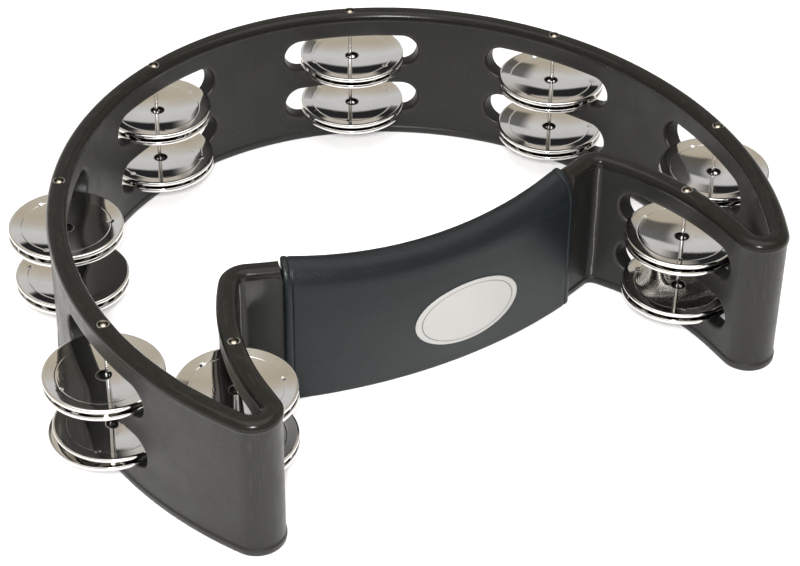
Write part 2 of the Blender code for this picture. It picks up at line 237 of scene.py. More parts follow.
_corner = np.linspace(WIN_ST, PATCH, CORNER_STEPS + 1)[1:]
ACROSS = np.concatenate(
    [-_corner[::-1], np.linspace(-WIN_ST, WIN_ST, STRAIGHT_STEPS + 1), _corner]
)
LEVELS = np.concatenate(
    [
        np.linspace(LOW_Z, MID_Z, SIDE_STEPS + 1),
        np.linspace(MID_Z, HIGH_Z, SIDE_STEPS + 1)[1:],
    ]
)


def top_profile():
    """(n, z, wear) over the top lip, from the +n web to the -n web."""
    half = WALL / 2
    side = [(WEB, 52.7, 0.0), (WEB + 0.04, 52.98, 0.0), (WEB + 0.14, 53.14, 0.2)]
    side += [(half - 0.12, 53.22, 0.6), (half - 0.02, 53.36, 0.5), (half, 53.7, 0.2)]
    r = 2.75
    for i in range(1, 11):
        a = math.radians(90 * i / 10)
        side.append((half - r + r * math.cos(a), H - r + r * math.sin(a), 0.3 + 0.07 * i))
    crown = [(0.4, H, 1.0), (0.0, H, 1.0)]
    right = side + crown
    return right + [(-n, z, w) for n, z, w in reversed(right[:-1])]


def bottom_profile():
    """(n, z, wear) under the bottom lip, from the -n web to the +n web."""
    half, r = WALL / 2, 1.5
    side = [(WEB, 3.7, 0.0), (WEB + 0.05, 3.45, 0.0), (half - 0.12, 3.15, 0.25)]
    side += [(half, 2.8, 0.3), (half, 2.1, 0.2)]
    for i in range(1, 6):
        a = math.radians(90 * i / 5)
        side.append((half - r + r * math.cos(a), r - r * math.sin(a), 0.3 + 0.1 * i))
    right = side + [(0.0, 0.0, 0.8)]
    full = right + [(-n, z, w) for n, z, w in reversed(right[:-1])]
    return full[::-1]


def in_grip(s):
    x, y = plan_at(np.array(s), 0.0)
    reach = math.asin(GRIP_HALF / BAR_R) - 0.4 / BAR_R
    return y < 5 and abs(math.atan2(x - BAR_C[0], BAR_C[1] - y)) < reach and abs(x) < 60


def make_wall():
    patches = []
    for name in STATIONS:
        c = centre_of("nail_" + name) / MM
        s = nearest_s(c.x, c.y - FIT_Y)
        h = heading_at(s)
        along = np.array([math.cos(h), math.sin(h)])
        shift = -1.4 * math.copysign(1, along[1]) if "return" in name else 0.0
        patches.append({"name": name, "s": s, "along": along, "shift": shift})
    patches.sort(key=lambda p: p["s"])

    def s_of(p, u, n):
        """Arc length where the wall, n mm out, is u mm along from the nail."""
        u, n = np.broadcast_arrays(np.asarray(u, float), np.asarray(n, float))
        s = p["s"] + u
        origin = plan_at(np.array(p["s"]), 0.0)
        for _ in range(12):
            s = s - ((plan_at(s, n) - origin) @ p["along"] - u)
        return s

    # Columns along the wall. Each has its arc length, and its patch if it lies
    # strictly inside one.
    columns = []
    bend = np.abs(np.gradient(HEAD, GRID))

    def plain(a, b):
        out, s = [], a
        marks = [a]
        while s < b:
            k = float(np.interp(s % LENGTH, GRID, bend))
            ahead = float(np.interp((s + 2.0) % LENGTH, GRID, bend))
            s += min(2.2, max(0.5, 0.085 / max(k, ahead, 1e-3)))
            marks.append(s)
        marks = np.array(marks)
        marks = a + (marks - a) * (b - a) / (marks[-1] - a)
        for m in marks[1:-1]:
            out.append((float(m), None))
        return out

    for i, p in enumerate(patches):
        p["centre"] = float(s_of(p, p["shift"], 0.0))
        p["first"] = p["centre"] - PATCH
        p["last"] = p["centre"] + PATCH
    start = patches[-1]["last"] - LENGTH
    for i, p in enumerate(patches):
        stretch = plain(start, p["first"])
        if i == 0:  # the handle bar: sharp steps where it narrows under the grip
            inside = [in_grip(s) for s, _ in stretch]
            first, last = inside.index(True), len(inside) - 1 - inside[::-1].index(True)
            cut = []
            for k, item in enumerate(stretch):
                if k == first:
                    cut.append((item[0] - 0.06, None))
                cut.append(item)
                if k == last:
                    cut.append((item[0] + 0.06, None))
            stretch = cut
        columns += stretch
        for k, x in enumerate(ACROSS):
            edge = k in (0, len(ACROSS) - 1)
            if k == 0:
                p["column"] = len(columns)
            columns.append((p["centre"] + float(x), None if edge else i))
        start = p["last"]

    mesh = Mesh()
    tops, bottoms = np.array(top_profile()), np.array(bottom_profile())
    run = np.concatenate(
        [[0], np.cumsum(np.hypot(*np.diff(tops[:, :2], axis=0).T))]
    )
    run_b = np.concatenate(
        [[0], np.cumsum(np.hypot(*np.diff(bottoms[:, :2], axis=0).T))]
    )
    skin, top, bottom = [], [], []
    for s, inside in columns:
        low, high = (2.0, 46.4) if in_grip(s) and s < patches[0]["first"] else (0.0, H)

        def fitted(z):
            return low + np.asarray(z) * (high - low) / H

        levels = range(len(LEVELS)) if inside is None else (0, SIDE_STEPS, 2 * SIDE_STEPS)
        sides = {}
        for side, n in (("out", WEB), ("in", -WEB)):
            z = LEVELS[list(levels)]
            ids = mesh.add(
                to_world(plan_at(np.full(len(z), s), n), fitted(z)),
                np.stack([np.full(len(z), s) * MM, z * MM, z * 0], -1),
            )
            sides[side] = dict(zip(levels, ids))
        skin.append(sides)
        n, z, w = tops.T
        top.append(
            mesh.add(
                to_world(plan_at(np.full(len(n), s), n), fitted(z)),
                np.stack([np.full(len(n), s) * MM, (HIGH_Z + run) * MM, w], -1),
            )
        )
        n, z, w = bottoms.T
        bottom.append(
            mesh.add(
                to_world(plan_at(np.full(len(n), s), n), fitted(z)),
                np.stack([np.full(len(n), s) * MM, (-run_b) * MM, w], -1),
            )
        )
    last_level = 2 * SIDE_STEPS
    rings = []
    for k in range(len(columns)):
        ring_top = (
            [skin[k]["out"][last_level]] + list(top[k]) + [skin[k]["in"][last_level]]
        )
        ring_bottom = [skin[k]["in"][0]] + list(bottom[k]) + [skin[k]["out"][0]]
        rings.append((ring_top, ring_bottom))
    for k in range(len(columns)):
        j = (k + 1) % len(columns)
        mesh.quads(rings[k][0], rings[j][0])
        mesh.quads(rings[k][1], rings[j][1])
        if columns[k][1] is None and columns[j][1] is None:
            for side in ("out", "in"):
                a = [skin[k][side][m] for m in range(last_level + 1)]
                b = [skin[j][side][m] for m in range(last_level + 1)]
                mesh.quads(a, b)

    # Windows: rings from the stadium outline to the rectangle round it.
    def stadium(radius):
        """Points (u, v) that pair with the rectangle's, clockwise from its top
        left."""
        top_edge = []
        for k, x in enumerate(ACROSS):
            if abs(x) <= WIN_ST + 1e-9:
                top_edge.append((x, radius))
            else:
                steps = k - (CORNER_STEPS + STRAIGHT_STEPS) if x > 0 else CORNER_STEPS - k
                a = math.radians(90 - 45 * steps / CORNER_STEPS)
                top_edge.append(
                    (math.copysign(WIN_ST + radius * math.cos(a), x), radius * math.sin(a))
                )
        side = []
        for k in range(1, SIDE_STEPS):
            a = math.radians(45 - 90 * k / SIDE_STEPS)
            side.append((WIN_ST + radius * math.cos(a), radius * math.sin(a)))
        loop = top_edge + side
        loop += [(u, -v) for u, v in reversed(top_edge)]
        loop += [(-u, v) for u, v in reversed(side)]
        return np.array(loop)

    between = 4
    for p in patches:
        c0 = p["column"]
        cols = list(range(c0, c0 + len(ACROSS)))
        for row, zc in enumerate(WIN_Z):
            lo, hi = row * SIDE_STEPS, (row + 1) * SIDE_STEPS
            inner = {}
            for side, sign in (("out", 1), ("in", -1)):
                rect = [skin[c][side][hi] for c in cols]
                rect += [skin[cols[-1]][side][m] for m in range(hi - 1, lo, -1)]
                rect += [skin[c][side][lo] for c in reversed(cols)]
                rect += [skin[cols[0]][side][m] for m in range(lo + 1, hi)]
                rect_s = np.array(
                    [columns[c][0] for c in cols]
                    + [columns[cols[-1]][0]] * (SIDE_STEPS - 1)
                    + [columns[c][0] for c in reversed(cols)]
                    + [columns[cols[0]][0]] * (SIDE_STEPS - 1)
                )
                rect_z = np.array(
                    [LEVELS[hi]] * len(cols)
                    + [LEVELS[m] for m in range(hi - 1, lo, -1)]
                    + [LEVELS[lo]] * len(cols)
                    + [LEVELS[m] for m in range(lo + 1, hi)]
                )
                outline = stadium(WIN_H / 2 + EDGE)
                rim_s = s_of(p, outline[:, 0] + p["shift"], sign * WEB)
                rim_z = zc + outline[:, 1]
                previous = rect
                for ring in range(1, between + 1):
                    f = 1 - (1 - ring / between) ** 1.0
                    s = rect_s * (1 - f) + rim_s * f
                    z = rect_z * (1 - f) + rim_z * f
                    wear = 0.35 if ring == between else 0.0
                    ids = mesh.add(
                        to_world(plan_at(s, sign * WEB), z),
                        np.stack([s * MM, z * MM, np.full(len(s), wear)], -1),
                    )
                    mesh.quads(previous, ids, closed=True)
                    previous = ids
                for ring in range(1, 6):
                    a = math.radians(90 * ring / 5)
                    outline = stadium(WIN_H / 2 + EDGE * (1 - math.sin(a)))
                    n = sign * (WEB - EDGE * (1 - math.cos(a)))
                    s = s_of(p, outline[:, 0] + p["shift"], n)
                    z = zc + outline[:, 1]
                    ids = mesh.add(
                        to_world(plan_at(s, n), z),
                        np.stack(
                            [s * MM, z * MM, np.full(len(s), 0.6 - 0.12 * ring)], -1
                        ),
                    )
                    mesh.quads(previous, ids, closed=True)
                    previous = ids
                inner[side] = previous
            mesh.quads(inner["out"], inner["in"], closed=True)
    return mesh.build("frame_wall"), patches


def lathe(profile, steps, marks=None):
    """Closed mesh turned about Z from (r, z) points, closed where r is 0."""
    points, faces = [], []
    rings = []
    for r, z in profile:
        if r < 1e-9:
            rings.append([len(points)])
            points.append((0.0, 0.0, z))
        else:
            rings.append(list(range(len(points), len(points) + steps)))
            points += [
                (r * math.cos(math.tau * k / steps), r * math.sin(math.tau * k / steps), z)
                for k in range(steps)
            ]
    pairs = list(zip(rings, rings[1:]))
    if len(rings[0]) > 1 and len(rings[-1]) > 1:
        pairs.append((rings[-1], rings[0]))
    for a, b in pairs:
        for k in range(steps):
            j = (k + 1) % steps
            if len(a) == 1:
                faces.append((a[0], b[k], b[j]))
            elif len(b) == 1:
                faces.append((a[k], b[0], a[j]))
            else:
                faces.append((a[k], b[k], b[j], a[j]))
    return points, faces


def mesh_of(name, points, faces, scale=MM, sharp=None):
    mesh = bpy.data.meshes.new(name)
    mesh.from_pydata([tuple(c * scale for c in p) for p in points], [], faces)
    edit = bmesh.new()
    edit.from_mesh(mesh)
    bmesh.ops.recalc_face_normals(edit, faces=edit.faces)
    if edit.calc_volume(signed=True) < 0:
        bmesh.ops.reverse_faces(edit, faces=edit.faces)
    edit.to_mesh(mesh)
    edit.free()
    mesh.shade_smooth()
    if sharp:
        mesh.set_sharp_from_angle(angle=math.radians(sharp))
    return mesh


# ------------------------------------------------------------------- materials
class Nodes:
    """Short words for building one material's node tree."""

    def __init__(self, name):
        self.material = bpy.data.materials.new(name)
        self.material.use_nodes = True
        self.tree = self.material.node_tree
        self.shader = self.tree.nodes["Principled BSDF"]

    def node(self, kind, **settings):
        made = self.tree.nodes.new(kind)
        for key, value in settings.items():
            setattr(made, key, value)
        return made

    def link(self, a, b):
        self.tree.links.new(a, b)

    def value(self, socket, value):
        if isinstance(value, (int, float, tuple)):
            socket.default_value = value
        else:
            self.link(value, socket)

    def coordinates(self, kind="Object"):
        return self.node("ShaderNodeTexCoord").outputs[kind]

    def stretched(self, vector, scale):
        made = self.node("ShaderNodeMapping")
        self.link(vector, made.inputs["Vector"])
        made.inputs["Scale"].default_value = scale
        return made.outputs["Vector"]

    def noise(self, vector, scale, detail=3.0, rough=0.5, distortion=0.0):
        made = self.node("ShaderNodeTexNoise")
        self.link(vector, made.inputs["Vector"])
        made.inputs["Scale"].default_value = scale
        made.inputs["Detail"].default_value = detail
        made.inputs["Roughness"].default_value = rough
        made.inputs["Distortion"].default_value = distortion
        return made.outputs["Fac"]

    def voronoi(self, vector, scale, feature="F1"):
        made = self.node("ShaderNodeTexVoronoi", feature=feature)
        self.link(vector, made.inputs["Vector"])
        made.inputs["Scale"].default_value = scale
        return made.outputs["Distance"]

    def ramp(self, fac, stops):
        made = self.node("ShaderNodeValToRGB")
        self.link(fac, made.inputs["Fac"])
        line = made.color_ramp
        while len(line.elements) < len(stops):
            line.elements.new(0.5)
        for element, (at, value) in zip(line.elements, stops):
            element.position = at
            c = value if isinstance(value, tuple) else (value,) * 3
            element.color = (*c, 1.0)
        return made.outputs["Color"]

    def range(self, fac, a, b, c, d):
        made = self.node("ShaderNodeMapRange")
        made.clamp = True
        self.link(fac, made.inputs["Value"])
        for name, v in zip(("From Min", "From Max", "To Min", "To Max"), (a, b, c, d)):
            made.inputs[name].default_value = v
        return made.outputs["Result"]

    def maths(self, how, a, b=0.0, clamp=False):
        made = self.node("ShaderNodeMath", operation=how)
        made.use_clamp = clamp
        self.value(made.inputs[0], a)
        self.value(made.inputs[1], b)
        return made.outputs[0]

    def mix(self, fac, a, b):
        made = self.node("ShaderNodeMix", data_type="RGBA")
        self.value(made.inputs["Factor"], fac)
        for socket, v in ((made.inputs[6], a), (made.inputs[7], b)):
            if isinstance(v, tuple) and len(v) == 3:
                v = (*v, 1.0)
            self.value(socket, v)
        return made.outputs[2]

    def bump(self, height, strength, distance, normal=None):
        made = self.node("ShaderNodeBump")
        made.inputs["Strength"].default_value = strength
        made.inputs["Distance"].default_value = distance
        self.link(height, made.inputs["Height"])
        if normal is not None:
            self.link(normal, made.inputs["Normal"])
        return made.outputs["Normal"]

    def attribute(self, name):
        made = self.node("ShaderNodeAttribute")
        made.attribute_name = name
        return made.outputs["Fac"]

    def finish(self, colour=None, rough=None, normal=None, metallic=0.0, specular=None):
        s = self.shader
        if colour is not None:
            if isinstance(colour, tuple) and len(colour) == 3:
                colour = (*colour, 1.0)
            self.value(s.inputs["Base Color"], colour)
        if rough is not None:
            self.value(s.inputs["Roughness"], rough)
        if normal is not None:
            self.link(normal, s.inputs["Normal"])
        s.inputs["Metallic"].default_value = metallic
        if specular is not None:
            s.inputs["Specular IOR Level"].default_value = specular
        return self.material


def plastic():
    n = Nodes("moulded_black_plastic")
    at = n.coordinates("Object")
    wall = n.coordinates("UV")
    wear = n.attribute("wear")
    cloud = n.noise(at, 22.0, 4.0, 0.55)
    grime = n.noise(at, 95.0, 5.0, 0.6)
    # Flow lines and handling scratches run along the rim.
    streak = n.noise(n.stretched(wall, (60.0, 2600.0, 1.0)), 1.0, 4.0, 0.6)
    streak = n.ramp(streak, [(0.52, 0.0), (0.70, 1.0)])
    rub = n.noise(n.stretched(wall, (140.0, 520.0, 1.0)), 1.0, 5.0, 0.65)
    rub = n.ramp(rub, [(0.50, 0.0), (0.74, 1.0)])
    worn = n.maths("MULTIPLY", n.maths("MAXIMUM", streak, rub), wear)
    # Faint upright scuffs on the web.
    upright = n.noise(n.stretched(wall, (900.0, 38.0, 1.0)), 1.0, 3.0, 0.6)
    upright = n.ramp(upright, [(0.63, 0.0), (0.78, 1.0)])
    patchy = n.ramp(n.noise(at, 14.0, 2.0), [(0.48, 0.0), (0.66, 1.0)])
    upright = n.maths("MULTIPLY", upright, patchy)
    # The hairpin tips are knocked and scratched most, down their walls.
    parts = n.node("ShaderNodeSeparateXYZ")
    n.link(at, parts.inputs[0])
    off_x = n.maths("SUBTRACT", n.maths("ABSOLUTE", parts.outputs["X"]), TIP_C[0] * MM)
    off_y = n.maths("SUBTRACT", parts.outputs["Y"], (TIP_C[1] + FIT_Y) * MM)
    from_tip = n.maths(
        "SQRT", n.maths("ADD", n.maths("MULTIPLY", off_x, off_x), n.maths("MULTIPLY", off_y, off_y))
    )
    scratch = n.noise(n.stretched(wall, (2600.0, 70.0, 1.0)), 1.0, 3.0, 0.65)
    scratch = n.ramp(scratch, [(0.55, 0.0), (0.68, 1.0)])
    by_tip = n.range(from_tip, 0.007, 0.024, 1.0, 0.0)
    low = n.range(parts.outputs["Z"], 0.008, 0.040, 0.25, 1.0)
    scratch = n.maths("MULTIPLY", n.maths("MULTIPLY", scratch, by_tip), low)
    upright = n.maths("MAXIMUM", upright, n.maths("MULTIPLY", scratch, 0.85))
    dust = n.ramp(n.noise(at, 1500.0, 2.0, 0.6), [(0.64, 0.0), (0.78, 1.0)])
    base = n.mix(cloud, (0.0048, 0.0048, 0.0046), (0.0080, 0.0079, 0.0076))
    base = n.mix(n.maths("MULTIPLY", wear, 0.75), base, (0.0225, 0.0195, 0.0160))
    base = n.mix(n.maths("MULTIPLY", worn, 0.55), base, (0.085, 0.078, 0.068))
    base = n.mix(n.maths("MULTIPLY", upright, 0.34), base, (0.075, 0.073, 0.070))
    base = n.mix(n.maths("MULTIPLY", dust, 0.34), base, (0.10, 0.098, 0.092))
    rough = n.range(grime, 0.3, 0.75, 0.33, 0.50)
    rough = n.maths("ADD", rough, n.maths("MULTIPLY", worn, 0.14))
    rough = n.maths("ADD", rough, n.maths("MULTIPLY", upright, 0.10), True)
    peel = n.noise(at, 900.0, 2.0, 0.5)
    fine = n.noise(at, 3600.0, 2.0, 0.5)
    normal = n.bump(peel, 0.10, 0.0003)
    normal = n.bump(fine, 0.10, 0.00010, normal)
    normal = n.bump(worn, 0.35, 0.00010, normal)
    return n.finish(base, rough, normal, specular=0.31)


def rim_plastic():
    """The rim's bead, handled and rubbed to a browner, duller black."""
    n = Nodes("rubbed_rim_plastic")
    at = n.coordinates("Object")
    wall = n.coordinates("UV")
    wear = n.attribute("wear")
    cloud = n.noise(at, 26.0, 4.0, 0.55)
    streak = n.noise(n.stretched(wall, (55.0, 1300.0, 1.0)), 1.0, 4.0, 0.6)
    streak = n.ramp(streak, [(0.56, 0.0), (0.86, 1.0)])
    rub = n.noise(n.stretched(wall, (150.0, 380.0, 1.0)), 1.0, 5.0, 0.65)
    rub = n.ramp(rub, [(0.52, 0.0), (0.80, 1.0)])
    worn = n.maths("MULTIPLY", n.maths("MAXIMUM", streak, rub), wear)
    dust = n.ramp(n.noise(at, 1700.0, 2.0, 0.6), [(0.66, 0.0), (0.80, 1.0)])
    base = n.mix(cloud, (0.0062, 0.0059, 0.0048), (0.0105, 0.0099, 0.0080))
    base = n.mix(n.maths("MULTIPLY", worn, 0.30), base, (0.050, 0.044, 0.035))
    base = n.mix(n.maths("MULTIPLY", dust, 0.28), base, (0.085, 0.078, 0.064))
    rough = n.range(n.noise(at, 110.0, 4.0, 0.6), 0.3, 0.75, 0.17, 0.29)
    rough = n.maths("ADD", rough, n.maths("MULTIPLY", worn, 0.08), True)
    normal = n.bump(n.noise(at, 1100.0, 2.0, 0.5), 0.10, 0.00025)
    normal = n.bump(worn, 0.12, 0.00006, normal)
    return n.finish(base, rough, normal, specular=0.16)


def whitened_and_glint_plastic():
    n = Nodes("whitened_plastic_and_painted_glint")
    # Pale speckled grey: stress whitening on the nail burrs, and on the corner seams a painted highlight standing
    # in for the bright line of light down the inner corner.
    at = n.coordinates("Object")
    spots = n.noise(at, 2600.0, 4.0, 0.65)
    base = n.ramp(
        spots,
        [(0.30, (0.040, 0.036, 0.031)), (0.55, (0.12, 0.112, 0.10)), (0.72, (0.28, 0.265, 0.24))],
    )
    return n.finish(base, n.range(spots, 0.3, 0.7, 0.35, 0.6), n.bump(spots, 0.5, 0.0002))


def nickel():
    n = Nodes("bright_nickel_plate")
    at = n.coordinates("Object")
    face = n.coordinates("UV")  # from the disc's own centre, in metres
    far = n.node("ShaderNodeVectorMath", operation="LENGTH")
    n.link(face, far.inputs[0])
    radius = far.outputs["Value"]
    cloud = n.noise(at, 75.0, 4.0, 0.6)
    haze = n.noise(at, 300.0, 4.0, 0.6)
    # Polishing marks: fine rings about the centre, broken up round the disc.
    wobble = n.maths("MULTIPLY", n.noise(at, 130.0, 3.0, 0.6), 0.0012)
    turned = n.maths("MULTIPLY", n.maths("ADD", radius, wobble), 9000.0)
    rings = n.maths("SINE", turned)
    spots = n.ramp(n.noise(at, 430.0, 3.0, 0.7), [(0.69, 0.0), (0.75, 1.0)])
    film = n.ramp(n.noise(at, 60.0, 3.0, 0.55), [(0.50, 0.0), (0.72, 1.0)])
    base = n.mix(cloud, (0.62, 0.61, 0.595), (0.75, 0.745, 0.735))
    base = n.mix(n.maths("MULTIPLY", film, 0.18), base, (0.50, 0.455, 0.39))
    base = n.mix(n.maths("MULTIPLY", spots, 0.55), base, (0.26, 0.19, 0.12))
    # Tarnish gathers in the dents and along the crease. Round the hole the plate is painted near black and made
    # rougher. The dark colour is painted shade, standing in for the shadow seen through the hole; on the bottom
    # dish, whose hole is small, it reaches from its hole out to 2.85 mm.
    crease = n.ramp(radius, [(0.01575, 0.0), (0.01605, 1.0), (0.01618, 1.0), (0.0165, 0.0)])
    base = n.mix(n.maths("MULTIPLY", crease, 0.22), base, (0.33, 0.28, 0.22))
    hole = n.range(radius, 0.00255, 0.00285, 1.0, 0.0)
    base = n.mix(hole, base, (0.020, 0.018, 0.016))
    rough = n.range(haze, 0.35, 0.75, 0.022, 0.065)
    rough = n.maths("ADD", rough, n.maths("MULTIPLY", spots, 0.25))
    rough = n.maths("ADD", rough, n.maths("MULTIPLY", hole, 0.45), True)
    normal = n.bump(rings, 0.03, 0.00002)
    normal = n.bump(haze, 0.03, 0.00010, normal)
    return n.finish(base, rough, normal, metallic=1.0)


def nail_metal():
    """Bright steel shafts, and heads with a warm lacquer."""
    n = Nodes("nail_steel")
    at = n.coordinates("Object")
    grain = n.noise(n.stretched(at, (1.0, 1.0, 0.12)), 1800.0, 3.0, 0.6)
    parts = n.node("ShaderNodeSeparateXYZ")
    n.link(at, parts.inputs[0])
    head = n.range(parts.outputs["Z"], 0.0552, 0.0556, 0.0, 1.0)
    shaft = n.mix(grain, (0.62, 0.615, 0.60), (0.86, 0.855, 0.845))
    warm = n.mix(grain, (0.55, 0.47, 0.35), (0.80, 0.71, 0.56))
    rough = n.range(grain, 0.3, 0.7, 0.14, 0.28)
    return n.finish(
        n.mix(head, shaft, warm), rough, n.bump(grain, 0.15, 0.00005), metallic=1.0
    )


def grip_cover():
    n = Nodes("grained_grip_cover")
    at = n.coordinates("Object")
    cells = n.voronoi(at, 1500.0)
    pores = n.ramp(cells, [(0.10, 0.0), (0.45, 1.0)])
    fold = n.noise(n.stretched(at, (0.5, 1.0, 1.0)), 260.0, 4.0, 0.6)
    cloud = n.noise(at, 26.0, 3.0, 0.5)
    dust = n.ramp(n.noise(at, 2100.0, 2.0, 0.6), [(0.66, 0.0), (0.80, 1.0)])
    base = n.mix(cloud, (0.0040, 0.0060, 0.0072), (0.0068, 0.0092, 0.0106))
    base = n.mix(n.maths("MULTIPLY", dust, 0.35), base, (0.11, 0.12, 0.125))
    # Painted reflection: the cover is painted paler towards the middle of its foot, standing in for the floor's
    # light reflected there.
    parts = n.node("ShaderNodeSeparateXYZ")
    n.link(at, parts.inputs[0])
    low = n.range(parts.outputs["Z"], 0.004, 0.040, 1.0, 0.0)
    middle = n.range(n.maths("ABSOLUTE", parts.outputs["X"]), 0.015, 0.055, 1.0, 0.25)
    pale = n.maths("MULTIPLY", n.maths("MULTIPLY", low, middle), n.range(cloud, 0.3, 0.7, 0.65, 1.0))
    base = n.mix(n.maths("MULTIPLY", pale, 0.70), base, (0.036, 0.040, 0.041))
    rough = n.range(fold, 0.3, 0.7, 0.28, 0.38)
    normal = n.bump(pores, 0.30, 0.00014)
    normal = n.bump(fold, 0.16, 0.00035, normal)
    return n.finish(base, rough, normal, specular=0.19)


def badge_face():
    n = Nodes("silver_white_badge")
    uv = n.coordinates("UV")
    far = n.node("ShaderNodeVectorMath", operation="LENGTH")
    n.link(uv, far.inputs[0])
    ring = far.outputs["Value"]
    at = n.coordinates("Object")
    speck = n.noise(at, 2400.0, 3.0, 0.6)
    tone = n.noise(at, 60.0, 3.0, 0.5)
    base = n.mix(tone, (0.305, 0.302, 0.296), (0.36, 0.357, 0.348))
    base = n.mix(n.range(speck, 0.35, 0.75, 0.0, 0.35), base, (0.25, 0.247, 0.240))
    line = n.ramp(
        ring,
        [(0.868, 0.0), (0.876, 1.0), (0.890, 1.0), (0.898, 0.0)],
    )
    base = n.mix(n.maths("MULTIPLY", line, 0.82), base, (0.05, 0.05, 0.05))
    rough = n.range(speck, 0.3, 0.7, 0.30, 0.45)
    return n.finish(base, rough, n.bump(speck, 0.08, 0.00005), specular=0.5)


def plain_floor():
    n = Nodes("pale_floor")
    at = n.coordinates("Object")
    tone = n.noise(at, 3.0, 2.0, 0.5)
    base = n.mix(tone, (0.93, 0.93, 0.93), (0.96, 0.96, 0.96))
    n.shader.inputs["Emission Color"].default_value = (1.0, 1.0, 1.0, 1.0)
    n.shader.inputs["Emission Strength"].default_value = 0.14
    return n.finish(base, 0.8, specular=0.1)


PLASTIC, RIM, WHITENED_AND_GLINT, NICKEL = plastic(), rim_plastic(), whitened_and_glint_plastic(), nickel()
NAIL, COVER, BADGE = nail_metal(), grip_cover(), badge_face()


# -------------------------------------------------------------------- build it
def applied(obj):
    bpy.context.view_layer.update()
    graph = bpy.context.evaluated_depsgraph_get()
    mesh = bpy.data.meshes.new_from_object(obj.evaluated_get(graph))
    obj.modifiers.clear()
    old = obj.data
    obj.data = mesh
    bpy.data.meshes.remove(old)
    return obj


def make_frame():
    mesh, _ = make_wall()
    shell = bpy.data.objects.new("frame_moulding", mesh)
    bpy.context.scene.collection.objects.link(shell)
    # Each nail's recess in the rim.
    points, faces = [], []
    for name in STATIONS:
        c = centre_of("nail_" + name) / MM
        profile = [(0, 60.0), (1.72, 60.0), (1.72, 56.45), (1.62, 55.75), (1.35, 55.5), (0, 55.5)]
        part, quads = lathe(profile, 28)
        first = len(points)
        points += [(x + c.x, y + c.y, z) for x, y, z in part]
        faces += [tuple(i + first for i in f) for f in quads]
    tool = bpy.data.objects.new("recess_cutter", mesh_of("recess_cutter", points, faces))
    bpy.context.scene.collection.objects.link(tool)
    cut = shell.modifiers.new("recess", "BOOLEAN")
    cut.operation, cut.solver, cut.object = "DIFFERENCE", "EXACT", tool
    applied(shell)
    bpy.data.objects.remove(tool, do_unlink=True)
    shell.data.shade_smooth()
    shell.data.set_sharp_from_angle(angle=math.radians(42))
    shell.data.materials.clear()
    shell.data.materials.append(PLASTIC)
    shell.data.materials.append(RIM)
    for face in shell.data.polygons:
        face.material_index = 1 if face.center.z > 0.05345 else 0
    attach(shell, "frame")
    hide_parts("frame_shell")
    return shell


def make_seams():
    """The mould's parting line: a fine upright ridge in each inner corner, with
    a lump of flash at its foot."""
    for side, sign in (("right", 1), ("left", -1)):
        theta = math.radians(58)
        mesh = Mesh()
        rings = []
        for k, z in enumerate(np.linspace(3.9, 52.4, 60)):
            wander = 0.10 * math.sin(z * 0.31) + 0.05 * math.sin(z * 1.7)
            foot = math.exp(-(((z - 6.0) / 2.2) ** 2)) * (0.5 + 0.5 * math.sin(z * 4.1) ** 2)
            tall = 0.20 + 0.05 * math.sin(z * 0.9) + 0.30 * foot
            wide = 0.24 + 0.35 * foot
            r = COR_R - WEB
            loop = []
            for across, out in ((-1, -0.25), (-1, 0.0), (-0.55, 0.6), (0, 1.0), (0.55, 0.6), (1, 0.0), (1, -0.25)):
                a = theta + (across * wide + wander) / r
                d = r - (tall * out if out > 0 else out)
                x = COR_C[0] + d * math.cos(a)
                y = COR_C[1] + d * math.sin(a)
                loop.append((sign * x * MM, (y + FIT_Y) * MM, z * MM))
            marks = [(0.0, z * MM, 1.0)] * len(loop)
            rings.append(mesh.add(loop, marks))
        for a, b in zip(rings, rings[1:]):
            mesh.quads(a, b, closed=True)
        mesh.faces.append(tuple(rings[0]))
        mesh.faces.append(tuple(rings[-1][::-1]))
        made = place_object("mould_seam_" + side, mesh.build("mould_seam_" + side))
        # The seam's pale colour is a painted highlight: it stands in for the bright line of light down the inner
        # corner.
        made.data.materials.append(WHITENED_AND_GLINT)


def make_nails():
    head = [(0, 56.42), (0.45, 56.38), (0.85, 56.22), (1.12, 55.98), (1.25, 55.75)]
    head += [(1.25, 55.62), (0.75, 55.55), (0.75, 5.6), (0.55, 5.0), (0, 4.7)]
    for name in STATIONS:
        c = centre_of("nail_" + name)
        points, faces = lathe(head, 32)
        made = place_object(
            "nail_in_" + name,
            mesh_of("nail_in_" + name, points, faces, sharp=50),
            replaces=["nail_" + name],
        )
        made.data.transform(Matrix.Translation((c.x, c.y, 0)))
        made.data.materials.append(NAIL)
        # A thin raised burr that the nail pushed up round its recess.
        ring = [(1.70, 56.15), (1.76, 56.66), (1.88, 56.72), (2.02, 56.66), (2.18, 56.45), (2.24, 56.10)]
        points, faces = lathe(ring, 40)
        points = [
            (
                x * (1 + 0.03 * math.sin(3 * math.atan2(y, x) + c.x * 900)),
                y * (1 + 0.03 * math.cos(2 * math.atan2(y, x) + c.y * 700)),
                z if z < 56.5 else z - 0.06 * (1 + math.sin(2 * math.atan2(y, x) + c.x * 500)),
            )
            for x, y, z in points
        ]
        burr = place_object(
            "nail_burr_" + name,
            mesh_of("nail_burr_" + name, points, faces, sharp=60),
        )
        burr.data.transform(Matrix.Translation((c.x, c.y, 0)))
        burr.data.materials.append(WHITENED_AND_GLINT)


# Jingles ------------------------------------------------------------------------
DISC_R, DISC_HOLE = 20.7, 2.5
CREASE, FLANGE = 16.1, 19.55


def dish(r):
    """Height of the sheet's upper side: a round bowl up to a crease, then a
    steeper flange."""
    r = float(r)
    share = min(1.0, max(0.0, (r - DISC_HOLE) / (CREASE - DISC_HOLE)))
    out = min(1.0, max(0.0, (r - CREASE) / (FLANGE - CREASE)))
    return 0.32 + 1.12 * share**2.0 + 0.61 * out


